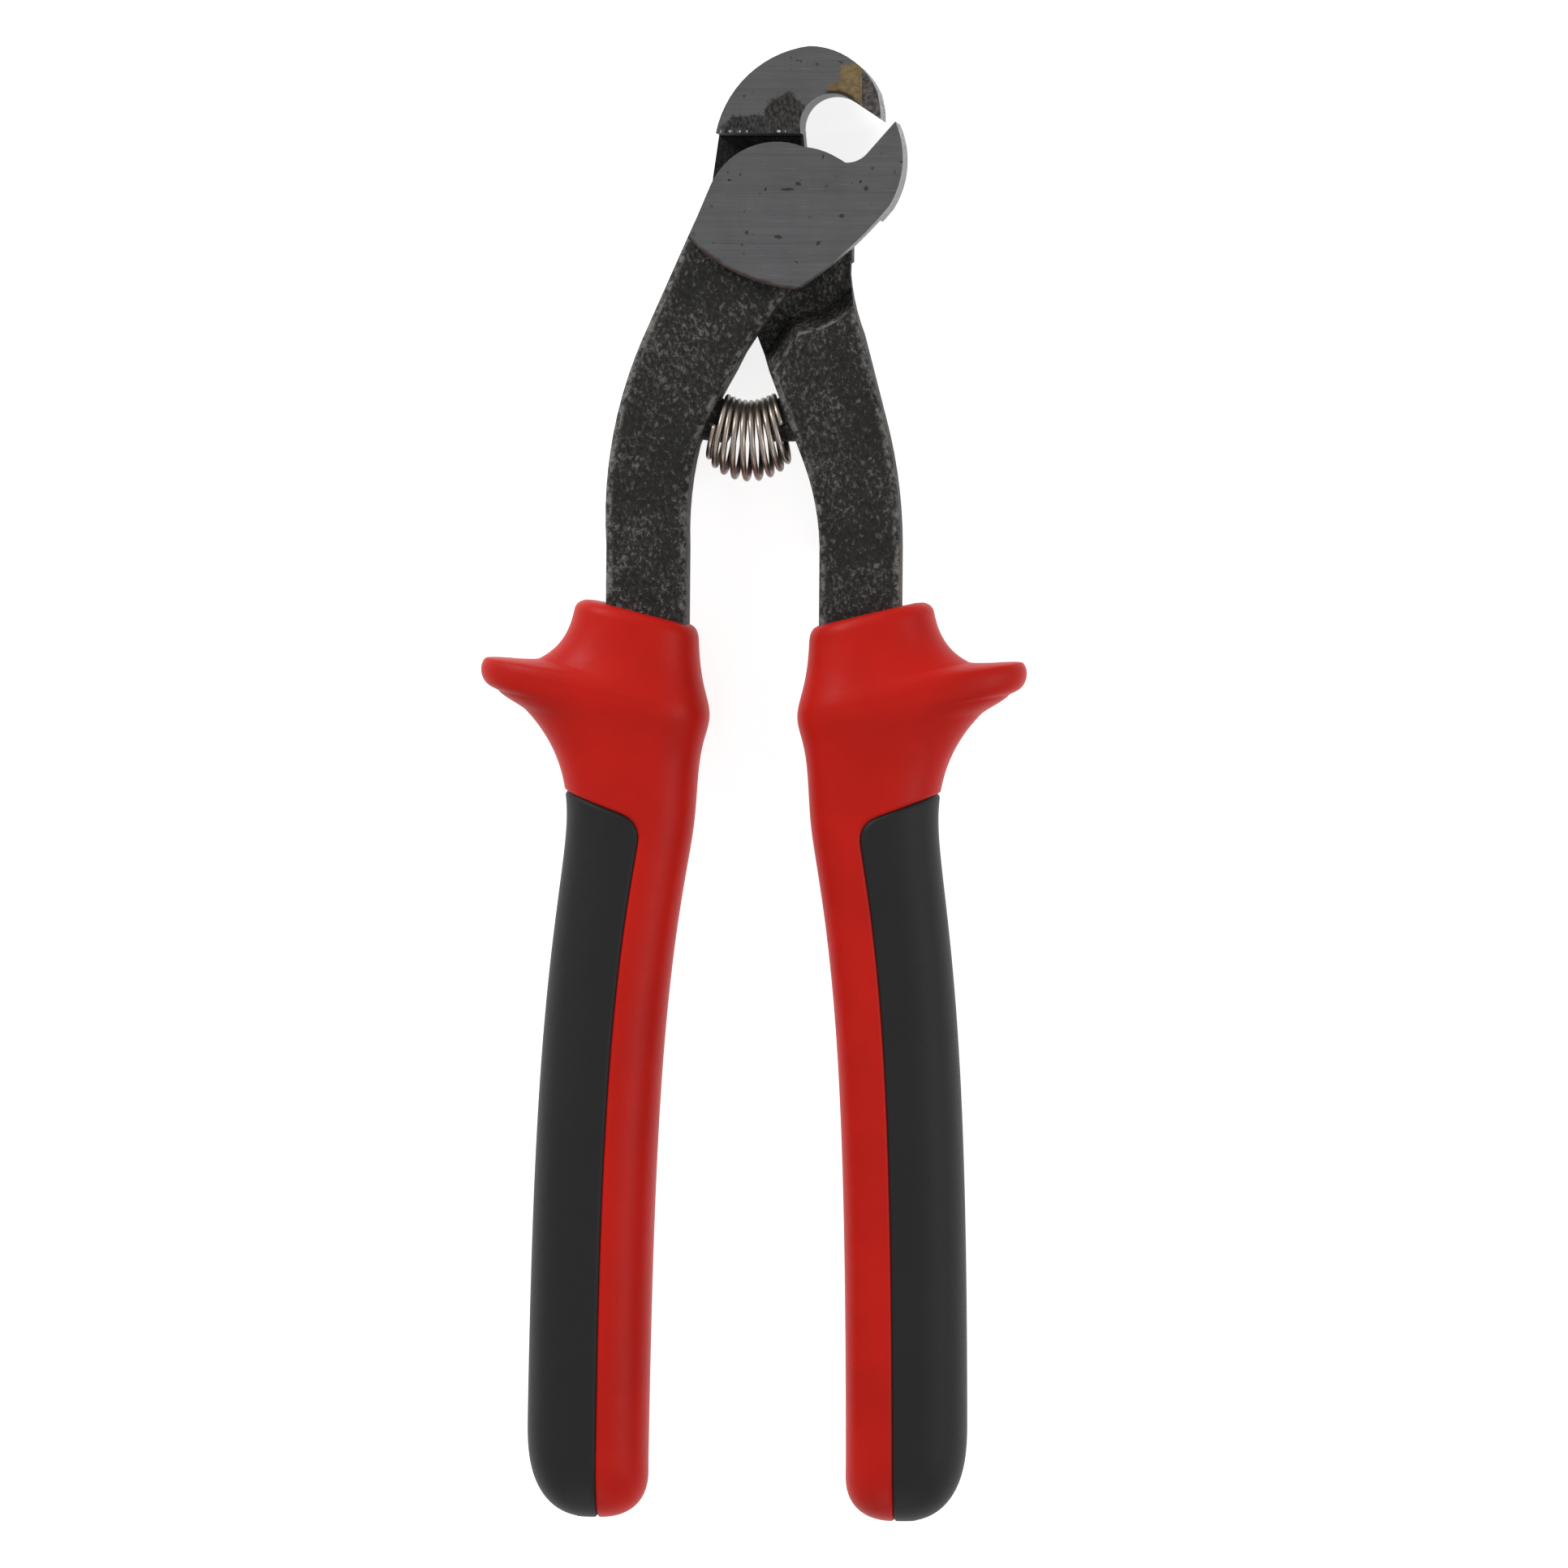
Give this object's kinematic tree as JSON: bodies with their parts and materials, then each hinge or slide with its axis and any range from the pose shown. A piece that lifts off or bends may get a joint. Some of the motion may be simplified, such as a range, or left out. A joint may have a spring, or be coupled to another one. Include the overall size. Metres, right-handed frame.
{
  "type": "tile nippers",
  "caption": "Parrot-beak tile nippers: two lapped forged levers on a flush rivet, carbide-tipped jaws, a barrel return spring between the arms and two-component grips with guards.",
  "frame": {"origin": "on the rivet's axis, in the machined back face of the head", "axes": "+Y from the grips to the jaws, +X to the side the mouth opens on, +Z out of the front face along the rivet"},
  "size_m": [0.0773, 0.2058, 0.0186],
  "materials": {
    "forged_steel": "black forging scale on the arms, faces of the head ground bright",
    "rivet_steel": "ground flush with the head",
    "carbide": "sintered tungsten carbide, dark and grainy",
    "braze": "thin line of brazing metal",
    "spring_wire": "bronze-grey drawn wire",
    "red_plastic": "smooth satin",
    "black_rubber": "soft-touch, satin"
  },
  "bodies": {
    "rear": {"rear_lever": "forged_steel", "pivot_rivet": "rivet_steel", "upper_jaw_carbide": "carbide", "upper_jaw_braze": "braze", "right_grip_core": "red_plastic", "right_grip_soft": "black_rubber", "return_spring": "spring_wire"},
    "front": {"front_lever": "forged_steel", "lower_jaw_carbide": "carbide", "lower_jaw_braze": "braze", "left_grip_core": "red_plastic", "left_grip_soft": "black_rubber"}
  },
  "joints": [
    {"name": "pivot", "type": "hinge", "parent": "rear", "child": "front", "pos_m": [0, 0, 0.007], "axis": [0, 0, 1], "range_deg": [-39, 5], "stiffness_Nm_per_rad": 2, "deforming": ["return_spring"]}
  ]
}
